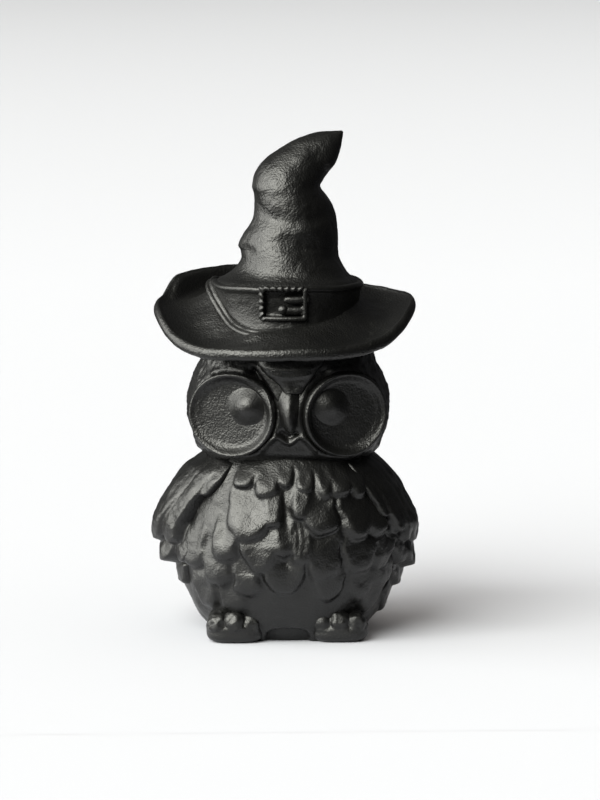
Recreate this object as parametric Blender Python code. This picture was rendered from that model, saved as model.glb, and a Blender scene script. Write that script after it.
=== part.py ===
"""Owl figurine in a witch's hat, modelled as one named solid for each sculpted part.

The owl stands on Z = 0 and faces -Y. "Left" and "right" are the owl's own, so left is +X.
Sizes are written in millimetres, and MM turns them into Blender's metres.
"""

import math

import bmesh
import bpy
import numpy as np

MM = 0.001
GAP = 0.3  # clearance between neighbouring parts

# ---- Driving dimensions -------------------------------------------------------------------------
NECK_Z = 29.0  # top of the body, where the head begins
HEAD_TOP_Z = 46.6
SEAT_Z = 49.6  # top of the brim, which the hat's crown stands on
CROWN_FOOT_Z = SEAT_Z + GAP
TIP_Z = 79.0  # tip of the hat, the figurine's full height

# Body: height, half width, depth to the front, depth to the back.
BODY_STATIONS = [
    (0.0, 11.4, 9.6, 11.2),
    (3.0, 12.7, 11.2, 12.4),
    (6.0, 14.7, 13.7, 14.2),
    (10.0, 16.5, 15.7, 15.7),
    (14.0, 17.5, 16.7, 16.3),
    (18.0, 17.6, 16.8, 16.3),
    (22.0, 16.6, 16.0, 15.5),
    (26.0, 14.8, 14.3, 14.2),
    (NECK_Z, 12.8, 12.4, 12.4),
]
BODY_POWER = 2.15  # exponent of the cross section: 2 is an ellipse, more is squarer

# Head: height, half width, depth to the front, depth to the back.
HEAD_STATIONS = [
    (NECK_Z + GAP, 13.7, 12.5, 12.4),
    (32.0, 14.8, 13.6, 13.4),
    (36.5, 15.4, 14.1, 14.0),
    (41.0, 15.0, 13.9, 13.8),
    (44.5, 13.9, 13.3, 13.0),
    (HEAD_TOP_Z, 12.6, 12.3, 12.0),
]
HEAD_POWER = 2.7

# Chest feathers: rows of overlapping scales, each row's tips at one height.
FEATHER_TIPS_Z = (23.2, 18.4, 13.6, 9.0, 4.8)
FEATHER_WIDTH = 5.4
FEATHER_LENGTH = 6.2
FEATHER_LIFT = 1.0
FEATHER_EDGE = 1.1  # height over which a feather's tip rounds off
CHEST_HALF_ANGLE = math.radians(60)

# Eyes: round dishes let into the face, each with a domed pupil set towards the beak.
EYE_X = 9.1
EYE_Y = -12.7
EYE_Z = 36.4
EYE_TOE_OUT = math.radians(20)
EYE_HALF_WIDTH = 6.7
EYE_HALF_HEIGHT = 6.3
EYE_RIM = 1.1
EYE_BOWL_DEPTH = 1.7
EYE_THICKNESS = 4.2
PUPIL_RADIUS = 2.5
PUPIL_HEIGHT = 2.2
PUPIL_SHIFT_IN = 2.4
PUPIL_SHIFT_UP = 0.9

# Beak: height, half width, how far it stands out.
BEAK_STATIONS = [
    (32.9, 0.35, 0.5),
    (33.8, 0.9, 2.3),
    (35.2, 1.4, 2.9),
    (37.2, 1.9, 2.5),
    (39.2, 2.2, 1.6),
    (40.6, 2.1, 0.7),
]
# Brow wedge above the beak: height and half width.
BROW_STATIONS = [(41.0, 1.5), (43.0, 3.0), (45.9, 5.0)]
BROW_THICKNESS = 0.9

# Wings: height, angle from the front where the wing begins, where it ends, and thickness.
WING_STATIONS = [
    (9.6, 104, 138, 0.5),
    (11.6, 94, 146, 1.5),
    (13.4, 84, 150, 2.0),
    (15.3, 77, 152, 2.0),
    (16.2, 75, 152, 3.1),
    (18.0, 70, 151, 3.1),
    (20.5, 62, 150, 2.9),
    (23.2, 53, 148, 2.2),
    (26.0, 44, 142, 1.5),
    (27.6, 42, 132, 0.8),
]
WING_FEATHERS = 5
WING_FEATHER_LIFT = 0.45

# Tail: height, half angle about the back, and thickness.
TAIL_STATIONS = [(2.6, 9, 3.4), (4.2, 15, 3.6), (7.5, 18, 2.8), (11.5, 16, 1.8), (15.5, 11, 0.8)]
TAIL_FEATHERS = 3

# Feet
FOOT_X = 8.3
FOOT_HALF_WIDTH = 4.15
FOOT_FRONT_Y = -13.2
FOOT_BACK_Y = -8.4
SOLE_HEIGHT = 1.7
TOE_PITCH = 2.6
TOE_RADII = (1.45, 2.9, 2.35)
TOE_Z = 2.4
TOE_Y = -11.2
ARCH_HALF_WIDTH = 2.9
ARCH_HEIGHT = 2.1

# Hat brim
BRIM_HALF_WIDTH = 20.6
BRIM_HALF_DEPTH = 18.8
BRIM_POWER = 1.9
SEAT_RADIUS = 10.5
BRIM_FRONT_Z = 47.0
BRIM_RISE = 5.3
BRIM_THICKNESS = 2.3
BRIM_EDGE = 1.6
BRIM_SAG = 0.8
LIP_HEIGHT = 2.6  # the turned-up edge at the back, on the owl's right

# Hat crown: centre X, Y, Z, half width, half depth.
CROWN_STATIONS = [
    (0.0, 0.3, CROWN_FOOT_Z, 8.7, 8.4),
    (0.1, 0.3, 52.0, 9.3, 8.9),
    (0.2, 0.3, 54.2, 10.3, 9.7),
    (0.2, 0.4, 55.6, 10.5, 9.8),
    (0.4, 0.5, 56.8, 9.5, 9.0),
    (0.7, 0.6, 58.2, 8.4, 8.0),
    (0.7, 0.7, 60.2, 7.8, 7.5),
    (0.7, 0.8, 62.2, 7.7, 7.4),
    (1.2, 0.9, 64.4, 6.9, 6.8),
    (1.5, 1.0, 66.2, 6.2, 6.2),
    (1.1, 1.1, 68.4, 5.9, 6.0),
    (0.3, 1.2, 70.8, 5.5, 5.6),
    (0.9, 1.5, 73.2, 5.2, 5.1),
    (3.1, 1.9, 75.3, 4.1, 4.1),
    (6.0, 2.4, 76.9, 2.4, 2.6),
    (8.3, 2.8, 78.3, 0.9, 1.0),
    (9.1, 2.9, TIP_Z - 0.3, 0.3, 0.3),
]
LEAN_FROM_Z = 66.0  # sections stay level below this height and follow the bend above LEAN_TO_Z
LEAN_TO_Z = 72.0

# Hat band and buckle
BAND_BOTTOM_Z = 50.3
BAND_TOP_Z = 54.9
BAND_THICKNESS = 0.9
BUCKLE_X = -0.8
BUCKLE_Z = 53.2
BUCKLE_HALF_WIDTH = 3.4
BUCKLE_HALF_HEIGHT = 2.3
BUCKLE_BAR = 0.45
PRONG_LENGTH = 3.0

RESIN_COLOUR = (0.012, 0.012, 0.013, 1.0)
RESIN_ROUGHNESS = 0.48


# ---- Helpers ------------------------------------------------------------------------------------
def clear_scene():
    for item in list(bpy.data.objects):
        bpy.data.objects.remove(item, do_unlink=True)


def black_resin(name, roughness=RESIN_ROUGHNESS):
    material = bpy.data.materials.new(name + "_resin")
    material.use_nodes = True
    shader = material.node_tree.nodes["Principled BSDF"]
    shader.inputs["Base Color"].default_value = RESIN_COLOUR
    shader.inputs["Roughness"].default_value = roughness
    shader.inputs["Metallic"].default_value = 0.0
    return material


def new_object(name, build, sharp_angle=40):
    """A mesh object whose geometry build(bm) makes in millimetres."""
    bm = bmesh.new()
    build(bm)
    bmesh.ops.scale(bm, vec=(MM, MM, MM), verts=bm.verts)
    bmesh.ops.recalc_face_normals(bm, faces=bm.faces)
    mesh = bpy.data.meshes.new(name)
    bm.to_mesh(mesh)
    bm.free()
    mesh.shade_smooth()
    mesh.set_sharp_from_angle(angle=math.radians(sharp_angle))
    obj = bpy.data.objects.new(name, mesh)
    obj.data.materials.append(black_resin(name))
    bpy.context.collection.objects.link(obj)
    return obj


def place(obj, x=0.0, y=0.0, z=0.0, rotation=(0.0, 0.0, 0.0)):
    obj.location = (x * MM, y * MM, z * MM)
    obj.rotation_euler = rotation
    return obj


def hide_cutter(obj):
    obj.hide_render = True
    obj.display_type = "WIRE"
    return obj


def boolean(obj, other, operation):
    modifier = obj.modifiers.new(operation.title() + " " + other.name, "BOOLEAN")
    modifier.operation = operation
    modifier.solver = "EXACT"
    modifier.object = hide_cutter(other)


def bevel(obj, width, segments=2):
    modifier = obj.modifiers.new("Bevel", "BEVEL")
    modifier.width = width * MM
    modifier.segments = segments
    modifier.limit_method = "ANGLE"


def smooth_step(low, high, value):
    t = np.clip((value - low) / (high - low), 0.0, 1.0)
    return t * t * (3.0 - 2.0 * t)


def along(stations, position, axis=0):
    """Smooth cubic curve through the stations, read where their column `axis` equals position."""
    table = np.array(stations, float)
    keys = table[:, axis]
    slopes = np.gradient(table, keys, axis=0)
    i = int(np.clip(np.searchsorted(keys, position) - 1, 0, len(keys) - 2))
    span = keys[i + 1] - keys[i]
    t = (position - keys[i]) / span
    start, end = table[i], table[i + 1]
    rise = end - start
    return (
        start
        + slopes[i] * span * t
        + (3 * rise - (2 * slopes[i] + slopes[i + 1]) * span) * t**2
        + (-2 * rise + (slopes[i] + slopes[i + 1]) * span) * t**3
    )


def skin_rings(bm, rings, capped=True):
    """Quads between successive rings of points, with a face on each end, or end joined to start."""
    loops = [[bm.verts.new(point) for point in ring] for ring in rings]
    count = len(loops[0])
    pairs = list(zip(loops, loops[1:]))
    if capped:
        bm.faces.new(loops[0])
        bm.faces.new(loops[-1])
    else:
        pairs.append((loops[-1], loops[0]))
    for low, high in pairs:
        for i in range(count):
            j = (i + 1) % count
            bm.faces.new((low[i], low[j], high[j], high[i]))


def skin_patch(bm, outer, inner):
    """A curved plate between two grids of points of the same size."""
    rows, columns = len(outer), len(outer[0])
    front = [[bm.verts.new(point) for point in row] for row in outer]
    back = [[bm.verts.new(point) for point in row] for row in inner]
    for i in range(rows - 1):
        for j in range(columns - 1):
            for face in (front, back):
                bm.faces.new((face[i][j], face[i][j + 1], face[i + 1][j + 1], face[i + 1][j]))
    border = [(0, j) for j in range(columns)]
    border += [(i, columns - 1) for i in range(1, rows)]
    border += [(rows - 1, j) for j in range(columns - 2, -1, -1)]
    border += [(i, 0) for i in range(rows - 2, 0, -1)]
    for (i, j), (k, m) in zip(border, border[1:] + border[:1]):
        bm.faces.new((front[i][j], front[k][m], back[k][m], back[i][j]))


def section_point(stations, power, z, angle, lift=0.0):
    """Point on a body or head section: angle 0 is the front, growing towards +X."""
    _, half_width, front, back = along(stations, z)
    side, forward = math.sin(angle), math.cos(angle)
    depth = front if forward > 0 else back
    reach = (abs(side / half_width) ** power + abs(forward / depth) ** power) ** (-1 / power) + lift
    return (reach * side, -reach * forward, z)


# ---- Body ---------------------------------------------------------------------------------------
def scale_lift(across, z):
    """How far the overlapping chest feathers stand out at a distance across the chest."""
    lift = 0.0
    for row, tip_z in enumerate(FEATHER_TIPS_Z):
        shifted = across / FEATHER_WIDTH + 0.5 * (row % 2)
        offset = (shifted - round(shifted)) * 2
        edge_z = tip_z + 0.55 * FEATHER_WIDTH * (1 - math.sqrt(max(0.0, 1 - offset**2)))
        above = z - edge_z
        if 0 <= above <= FEATHER_LENGTH:
            rounding = float(smooth_step(0.0, FEATHER_EDGE, above))
            lift = max(lift, FEATHER_LIFT * rounding * (1 - above / FEATHER_LENGTH))
    return lift


def body_lift(angle, z):
    """Feather relief on the chest, which fades out before the wings' front edges."""
    turned = (angle + math.pi) % (2 * math.pi) - math.pi
    wing_start = along(WING_STATIONS, max(z, WING_STATIONS[0][0]))[1]
    limit = min(CHEST_HALF_ANGLE, math.radians(wing_start - 6))
    chest = 1 - smooth_step(0.75 * limit, limit, abs(turned))
    return float(chest) * scale_lift(turned * BODY_STATIONS[5][1], z)


def make_body():
    front = np.linspace(-CHEST_HALF_ANGLE, CHEST_HALF_ANGLE, 41)
    rest = np.linspace(CHEST_HALF_ANGLE, 2 * math.pi - CHEST_HALF_ANGLE, 16)[1:-1]
    angles = [float(angle) for angle in (*front, *rest)]
    heights = [float(z) for z in np.linspace(0.0, NECK_Z, 31)]

    def build(bm):
        rings = [
            [section_point(BODY_STATIONS, BODY_POWER, z, a, body_lift(a, z)) for a in angles]
            for z in heights
        ]
        skin_rings(bm, rings)

    body = new_object("body", build, sharp_angle=50)
    for side in (-1, 1):
        boolean(body, foot_pocket(side), "DIFFERENCE")
    boolean(body, arch_cutter(), "DIFFERENCE")
    return body


def box(bm, low, high):
    made = bmesh.ops.create_cube(bm, size=1.0)["verts"]
    low, high = np.array(low), np.array(high)
    bmesh.ops.scale(bm, vec=tuple(high - low), verts=made)
    bmesh.ops.translate(bm, vec=tuple((low + high) / 2), verts=made)


def foot_pocket(side):
    """Room in the body for one foot, with clearance all round."""
    reach = FOOT_HALF_WIDTH + GAP

    def build(bm):
        top = TOE_Z + TOE_RADII[2] + GAP
        box(bm, (-reach, FOOT_FRONT_Y - 6, -5), (reach, FOOT_BACK_Y + GAP, top))

    return place(new_object(f"foot_pocket_{side}", build), x=side * FOOT_X)


def arch_cutter():
    """The low arch between the feet."""

    def build(bm):
        bmesh.ops.create_cone(bm, cap_ends=True, segments=28, radius1=1, radius2=1, depth=4)
        bmesh.ops.scale(bm, vec=(ARCH_HALF_WIDTH, ARCH_HEIGHT, 1), verts=bm.verts)

    quarter = math.radians(90)
    return place(new_object("arch_cutter", build), y=-9.6, rotation=(quarter, 0, 0))


# ---- Feet, wings and tail -----------------------------------------------------------------------
def make_foot(name, side):
    def sole(bm):
        width = FOOT_HALF_WIDTH - 0.05
        box(bm, (-width, FOOT_FRONT_Y + 0.6, 0), (width, FOOT_BACK_Y, SOLE_HEIGHT))
        corners = [edge for edge in bm.edges if abs(edge.verts[0].co.z - edge.verts[1].co.z) > 1]
        bmesh.ops.bevel(bm, geom=corners, offset=0.9, segments=3, affect="EDGES", profile=0.5)

    foot = place(new_object(name, sole), x=side * FOOT_X)
    for index in (-1, 0, 1):
        boolean(foot, toe(name, side, index), "UNION")
    below = trimmer(name + "_below", (-30, -30, -9), (30, 30, 0))
    behind = trimmer(name + "_behind", (-30, FOOT_BACK_Y, -9), (30, 30, 9))
    boolean(foot, below, "DIFFERENCE")
    boolean(foot, behind, "DIFFERENCE")
    return foot


def toe(name, side, index):
    def build(bm):
        bmesh.ops.create_uvsphere(bm, u_segments=14, v_segments=8, radius=1)
        bmesh.ops.scale(bm, vec=TOE_RADII, verts=bm.verts)

    x = side * FOOT_X + index * TOE_PITCH
    reach = FOOT_FRONT_Y + TOE_RADII[1] if index == 0 else TOE_Y + 0.9
    return place(new_object(f"{name}_toe_{index}", build), x=x, y=reach, z=TOE_Z)


def trimmer(name, low, high):
    return new_object(name, lambda bm: box(bm, low, high))


def make_wing(name, side):
    heights = np.linspace(WING_STATIONS[0][0], WING_STATIONS[-1][0], 14)
    fractions = np.linspace(0.0, 1.0, 16)

    def build(bm):
        outer, inner = [], []
        for z in heights:
            _, start, end, thickness = along(WING_STATIONS, z)
            outer_row, inner_row = [], []
            for fraction in fractions:
                angle = side * math.radians(start + (end - start) * fraction)
                streak = (fraction * WING_FEATHERS) % 1.0
                swell = math.sin(math.pi * min(1.0, 0.12 + 0.88 * fraction)) ** 0.35
                lift = GAP + max(0.35, thickness * swell - WING_FEATHER_LIFT * streak)
                outer_row.append(section_point(BODY_STATIONS, BODY_POWER, z, angle, lift))
                inner_row.append(section_point(BODY_STATIONS, BODY_POWER, z, angle, GAP))
            outer.append(outer_row)
            inner.append(inner_row)
        skin_patch(bm, outer, inner)

    return new_object(name, build)


def make_tail():
    heights = np.linspace(TAIL_STATIONS[0][0], TAIL_STATIONS[-1][0], 9)
    fractions = np.linspace(-1.0, 1.0, 13)

    def build(bm):
        outer, inner = [], []
        for z in heights:
            _, half_angle, thickness = along(TAIL_STATIONS, z)
            outer_row, inner_row = [], []
            for fraction in fractions:
                angle = math.pi + math.radians(half_angle) * fraction
                ripple = 0.25 * math.cos(math.pi * TAIL_FEATHERS * fraction)
                lift = GAP + max(0.35, thickness * (1 - 0.5 * fraction**2) + ripple)
                outer_row.append(section_point(BODY_STATIONS, BODY_POWER, z, angle, lift))
                inner_row.append(section_point(BODY_STATIONS, BODY_POWER, z, angle, GAP))
            outer.append(outer_row)
            inner.append(inner_row)
        skin_patch(bm, outer, inner)

    return new_object("tail", build)


# ---- Head and face ------------------------------------------------------------------------------
def make_head():
    angles = [2 * math.pi * i / 40 for i in range(40)]
    heights = [float(z) for z in np.linspace(HEAD_STATIONS[0][0], HEAD_TOP_Z, 12)]

    def build(bm):
        rings = [
            [section_point(HEAD_STATIONS, HEAD_POWER, z, a) for a in angles] for z in heights
        ]
        skin_rings(bm, rings)

    head = new_object("head", build)
    for side in (-1, 1):
        boolean(head, eye_pocket(side), "DIFFERENCE")
    return head


def eye_ring(scale_to_edge, depth, grow=0.0, count=32):
    """Ring of an eye dish: a share of its outline, at a depth behind its rim."""
    width = EYE_HALF_WIDTH * scale_to_edge + grow
    height = EYE_HALF_HEIGHT * scale_to_edge + grow
    turns = [2 * math.pi * i / count for i in range(count)]
    return [(width * math.cos(turn), height * math.sin(turn), -depth) for turn in turns]


def place_on_face(obj, side):
    facing = (math.radians(90), 0.0, side * EYE_TOE_OUT)
    return place(obj, side * EYE_X, EYE_Y, EYE_Z, facing)


def eye_pocket(side):
    def build(bm):
        rings = [eye_ring(1, EYE_THICKNESS + GAP, GAP), eye_ring(1, -6, GAP)]
        skin_rings(bm, rings)

    return place_on_face(new_object(f"eye_pocket_{side}", build), side)


def make_eye_dish(name, side):
    inner = 1 - EYE_RIM / EYE_HALF_HEIGHT

    def build(bm):
        rings = [
            eye_ring(0.82, EYE_THICKNESS),
            eye_ring(1.0, EYE_THICKNESS - 1.2),
            eye_ring(1.0, 0.45),
            eye_ring(0.95, 0.0),
            eye_ring(0.89, 0.0),
            eye_ring(inner, 0.5),
            eye_ring(inner - 0.03, EYE_BOWL_DEPTH),
        ]
        skin_rings(bm, rings)

    return place_on_face(new_object(name, build, sharp_angle=60), side)


def make_pupil(name, side, dish):
    """Dome on the floor of an eye dish, which it is parented to."""

    def build(bm):
        rings = []
        for step in range(6):
            turn = math.radians(15 * step)
            radius, height = PUPIL_RADIUS * math.cos(turn), PUPIL_HEIGHT * math.sin(turn)
            points = [2 * math.pi * i / 24 for i in range(24)]
            rings.append([(radius * math.cos(p), radius * math.sin(p), height) for p in points])
        skin_rings(bm, rings)

    pupil = new_object(name, build)
    pupil.parent = dish
    return place(pupil, -side * PUPIL_SHIFT_IN, PUPIL_SHIFT_UP, -EYE_BOWL_DEPTH + GAP)


def face_y(x, z, lift):
    """Y of a surface that follows the front of the head at a distance."""
    _, half_width, front, _ = along(HEAD_STATIONS, z)
    return -front * (1 - abs(x / half_width) ** HEAD_POWER) ** (1 / HEAD_POWER) - lift


def make_beak():
    """Hooked wedge with a round ridge: half-elliptical sections on a flat back."""
    back_y = -(HEAD_STATIONS[2][2] + GAP)

    def build(bm):
        rings = []
        for z in np.linspace(BEAK_STATIONS[0][0], BEAK_STATIONS[-1][0], 12):
            _, half_width, reach = along(BEAK_STATIONS, z)
            turns = np.radians(np.linspace(-90, 90, 13))
            rings.append(
                [
                    (half_width * math.sin(turn), -reach * math.cos(turn) ** 0.8, z)
                    for turn in turns
                ]
            )
        skin_rings(bm, rings)

    return place(new_object("beak", build), y=back_y)


def make_brow():
    """Wedge of the forehead that narrows down to the beak."""

    def build(bm):
        outer, inner = [], []
        for z in np.linspace(BROW_STATIONS[0][0], BROW_STATIONS[-1][0], 7):
            _, half_width = along(BROW_STATIONS, z)
            across = np.linspace(-half_width, half_width, 9)
            crown = 1 - 0.35 * (across / half_width) ** 2
            outer.append(
                [(x, face_y(x, z, GAP + BROW_THICKNESS * c), z) for x, c in zip(across, crown)]
            )
            inner.append([(x, face_y(x, z, GAP), z) for x in across])
        skin_patch(bm, outer, inner)

    return new_object("brow", build)


# ---- Hat ----------------------------------------------------------------------------------------
def brim_reach(turn):
    """Distance from the middle to the brim's edge: turn 0 is the front, growing towards +X."""
    side = abs(math.sin(turn)) / BRIM_HALF_WIDTH
    forward = abs(math.cos(turn)) / BRIM_HALF_DEPTH
    return (side**BRIM_POWER + forward**BRIM_POWER) ** (-1 / BRIM_POWER)


def brim_lip(turn):
    """Height of the turned-up edge, which starts abruptly on the owl's right and fades out behind."""
    degrees = math.degrees(turn) % 360
    start = smooth_step(248, 243, degrees)
    end = smooth_step(140, 172, degrees)
    return LIP_HEIGHT * float(start * end)


def brim_top(turn, radius):
    """Height of the brim's upper face: it droops in front and curls up at the sides and back."""
    degrees = abs(math.degrees(turn + math.pi) % 360 - 180)
    share = min(1.0, (degrees / 105) ** 1.5)
    edge_z = BRIM_FRONT_Z + BRIM_RISE * (0.5 - 0.5 * math.cos(math.pi * share))
    t = max(0.0, (radius - SEAT_RADIUS) / (brim_reach(turn) - SEAT_RADIUS))
    sag = BRIM_SAG * math.sin(math.pi * min(1.0, t)) * share
    lip = brim_lip(turn) * float(smooth_step(0.8, 0.96, t))
    return SEAT_Z + (edge_z - SEAT_Z) * t**1.4 - sag + lip


def make_brim():
    turns = [2 * math.pi * i / 60 for i in range(60)]
    shares = (SEAT_RADIUS / BRIM_HALF_WIDTH, 0.66, 0.8, 0.93)

    def ring(share, drop):
        points = []
        for turn in turns:
            radius = brim_reach(turn) * share
            z = brim_top(turn, radius) - drop
            points.append((radius * math.sin(turn), -radius * math.cos(turn), z))
        return points

    def build(bm):
        top = [ring(share, 0.0) for share in shares]
        edge = [ring(0.985, 0.1), ring(1.0, 0.5), ring(1.0, 1.0), ring(0.985, 1.4)]
        under = []
        for share in reversed(shares):
            taper = float(smooth_step(0.5, 0.95, share))
            under.append(ring(share, BRIM_THICKNESS + (BRIM_EDGE - BRIM_THICKNESS) * taper))
        skin_rings(bm, top + edge + under)

    return new_object("hat_brim", build)


def crown_ring(station, tangent, grow=0.0, count=32):
    """Section of the hat's crown, level low down and square to the bend towards the tip."""
    x, y, z, half_width, half_depth = station
    lean = float(smooth_step(LEAN_FROM_Z, LEAN_TO_Z, z))
    side = np.array([1.0 - lean + lean * tangent[2], 0.0, -lean * tangent[0]])
    side /= np.linalg.norm(side)
    points = []
    for i in range(count):
        turn = 2 * math.pi * i / count
        offset = side * (half_width + grow) * math.sin(turn)
        depth = -(half_depth + grow) * math.cos(turn)
        points.append((x + offset[0], y + depth, z + offset[2]))
    return points


def make_crown():
    steps = np.linspace(0, len(CROWN_STATIONS) - 1, 28)
    numbered = [(index, *station) for index, station in enumerate(CROWN_STATIONS)]
    path = [along(numbered, step)[1:] for step in steps]
    tangents = np.gradient(np.array(path)[:, :3], axis=0)
    tangents /= np.linalg.norm(tangents, axis=1)[:, None]

    def build(bm):
        skin_rings(bm, [crown_ring(*pair) for pair in zip(path, tangents)])

    return new_object("hat_crown", build)


def crown_at(z, grow):
    """Level ring round the lower crown, at a height and a distance from it."""
    return crown_ring(along(CROWN_STATIONS[:6], z, axis=2), (0.0, 0.0, 1.0), grow)


def make_band():
    """Ribbon round the foot of the crown, with rounded edges."""
    outer = GAP + BAND_THICKNESS

    def build(bm):
        rings = [
            crown_at(BAND_BOTTOM_Z, GAP),
            crown_at(BAND_BOTTOM_Z, outer - 0.2),
            crown_at(BAND_BOTTOM_Z + 0.35, outer),
            crown_at(0.5 * (BAND_BOTTOM_Z + BAND_TOP_Z), outer),
            crown_at(BAND_TOP_Z - 0.35, outer),
            crown_at(BAND_TOP_Z, outer - 0.2),
            crown_at(BAND_TOP_Z, GAP),
            crown_at(0.5 * (BAND_BOTTOM_Z + BAND_TOP_Z), GAP),
        ]
        skin_rings(bm, rings, capped=False)

    return new_object("hat_band", build)


def band_front_y(x, z, lift):
    """Y of a surface a distance in front of the band's face."""
    centre_x, centre_y, _, half_width, half_depth = along(CROWN_STATIONS[:6], z, axis=2)
    reach = half_depth + GAP + BAND_THICKNESS
    across = (x - centre_x) / (half_width + GAP + BAND_THICKNESS)
    return centre_y - reach * math.sqrt(1 - across**2) - lift


def make_buckle_frame():
    """Rectangular frame with round corners, bent to the band."""
    lift = GAP + BUCKLE_BAR + 0.15
    turns = [2 * math.pi * i / 32 for i in range(32)]

    def build(bm):
        rings = []
        for turn in turns:
            ring = []
            for step in range(6):
                tube = 2 * math.pi * (step + 0.5) / 6
                grow = BUCKLE_BAR * math.cos(tube)
                x = squircle(BUCKLE_HALF_WIDTH + grow, math.cos(turn)) + BUCKLE_X
                z = squircle(BUCKLE_HALF_HEIGHT + grow, math.sin(turn)) + BUCKLE_Z
                y = band_front_y(x, z, lift + BUCKLE_BAR * math.sin(tube))
                ring.append((x, y, z))
            rings.append(ring)
        skin_rings(bm, rings, capped=False)

    return new_object("buckle_frame", build)


def squircle(half_size, share):
    """Coordinate on a rectangle with round corners, from the cosine or sine of the turn."""
    return half_size * math.copysign(abs(share) ** 0.35, share)


def make_prong():
    """Bar across the right half of the buckle's opening."""

    def build(bm):
        half = PRONG_LENGTH / 2
        box(bm, (-half, -0.4, -0.45), (half, 0.4, 0.45))

    x = BUCKLE_X + BUCKLE_HALF_WIDTH - BUCKLE_BAR - GAP - PRONG_LENGTH / 2
    y = band_front_y(x - PRONG_LENGTH / 2, BUCKLE_Z, GAP + 0.5)
    prong = place(new_object("buckle_prong", build), x, y, BUCKLE_Z)
    bevel(prong, 0.2)
    return prong


def main():
    clear_scene()
    make_body()
    make_head()
    make_beak()
    make_brow()
    make_tail()
    for word, side in (("right", -1), ("left", 1)):
        make_foot(f"foot_{word}", side)
        make_wing(f"wing_{word}", side)
        dish = make_eye_dish(f"eye_dish_{word}", side)
        make_pupil(f"pupil_{word}", side, dish)
    make_brim()
    make_crown()
    make_band()
    make_buckle_frame()
    make_prong()


main()
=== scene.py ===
"""Looks of the owl figurine: one black cast-resin surface, sculpted piece by piece over the CAD frame.

Sizes are millimetres in the owl's own frame (it stands on Z = 0 and faces -Y); MM turns them into metres.
Angles round the body and head start at the front and grow towards +X, the owl's left.
"""

import math

import bpy
import numpy as np
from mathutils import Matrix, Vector


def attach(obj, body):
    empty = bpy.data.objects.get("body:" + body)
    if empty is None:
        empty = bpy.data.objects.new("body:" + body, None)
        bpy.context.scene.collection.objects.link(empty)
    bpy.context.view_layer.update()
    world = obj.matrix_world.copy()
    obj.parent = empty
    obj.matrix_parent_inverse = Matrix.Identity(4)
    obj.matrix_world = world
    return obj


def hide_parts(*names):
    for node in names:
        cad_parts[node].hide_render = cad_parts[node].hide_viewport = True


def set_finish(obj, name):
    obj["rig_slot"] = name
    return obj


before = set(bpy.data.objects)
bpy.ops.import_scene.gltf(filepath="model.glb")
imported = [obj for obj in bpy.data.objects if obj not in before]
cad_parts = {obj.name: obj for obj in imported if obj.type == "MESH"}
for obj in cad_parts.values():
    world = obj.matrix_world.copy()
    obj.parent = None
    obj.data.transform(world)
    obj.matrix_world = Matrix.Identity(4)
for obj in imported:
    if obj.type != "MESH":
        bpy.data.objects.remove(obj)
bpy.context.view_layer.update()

MM = 0.001
ROOT = "root"

# ---- Shape stations ----
# The owl's overall size is the CAD's. Single pieces are shaped more freely, and some, the wings most,
# reach a few millimetres past their plainer CAD solids.
NECK_Z = 29.0
HEAD_TOP_Z = 46.6

# Height, half width, depth to the front, depth to the back.
BODY_STATIONS = [
    (0.0, 11.9, 11.6, 11.6),
    (1.5, 13.0, 12.3, 12.2),
    (3.4, 14.5, 13.2, 13.2),
    (6.0, 15.8, 14.4, 14.4),
    (10.0, 16.9, 15.8, 15.7),
    (14.0, 17.5, 16.7, 16.3),
    (18.0, 17.6, 16.8, 16.3),
    (22.0, 16.4, 16.0, 15.5),
    (26.0, 14.65, 14.5, 14.2),
    (NECK_Z, 12.7, 12.6, 12.4),
    (NECK_Z + 1.2, 11.6, 11.4, 11.2),
]
BODY_POWER = 2.15
BODY_X = 0.45  # the body sits a little towards the owl's left
BODY_ARC = 17.5  # radius used to turn angles into distances over the body

HEAD_STATIONS = [
    (NECK_Z - 0.6, 12.5, 11.4, 11.2),
    (NECK_Z + 0.3, 13.8, 12.7, 12.6),
    (31.6, 14.95, 13.6, 13.4),
    (36.0, 15.8, 14.1, 14.0),
    (39.6, 15.3, 14.0, 13.8),
    (43.4, 13.6, 13.4, 13.0),
    (HEAD_TOP_Z + 0.6, 12.4, 12.1, 11.8),
]
HEAD_POWER = 2.6
HEAD_X = 0.5  # the head sits a little towards the owl's left
HEAD_ARC = 15.0  # radius used to turn angles into distances over the head

EYE_X = 9.15
EYE_MIDDLE_X = 0.15
EYE_Y = -12.7
EYE_Z = 36.1
EYE_TOE_OUT = math.radians(20)
EYE_HALF_WIDTH = 7.0
EYE_HALF_HEIGHT = 6.5

# Brim
BRIM_HALF_WIDTH = 20.7
BRIM_HALF_DEPTH = 18.8
BRIM_POWER = 1.9
BRIM_THICKNESS = 1.7
SEAT_RADIUS = 11.2
LIP_HEIGHT = 2.25
INNER_SHARE = 0.12  # the brim's closed middle, hidden in the crown, as a share of its reach
RIM_SHARE = 0.965  # where its rounded edge begins
RIM_ROLL = 0.72  # how far that edge is rounded out

# Middle height of the brim's edge, by degrees round from the front: low in front, swept up at the sides.
BRIM_EDGE = [
    (0, 45.9), (30, 46.1), (45, 46.8), (58, 48.3), (70, 50.3), (82, 51.95), (95, 52.75), (112, 52.85),
    (135, 52.9), (180, 53.2), (220, 53.4), (248, 52.5), (265, 52.0), (278, 50.9), (290, 48.8),
    (302, 46.9), (315, 46.0), (330, 45.8), (360, 45.9),
]
# Height where the brim's upper face meets the band, by degrees.
BRIM_SEAT = [
    (0, 49.6), (25, 50.2), (45, 51.0), (60, 52.0), (90, 53.4), (135, 54.2), (180, 54.6), (235, 55.2),
    (255, 54.6), (265, 53.4), (273, 52.5), (283, 51.6), (297, 50.3), (312, 49.4), (330, 49.2), (360, 49.6),
]
BRIM_ROOT_Z = 47.2

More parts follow.
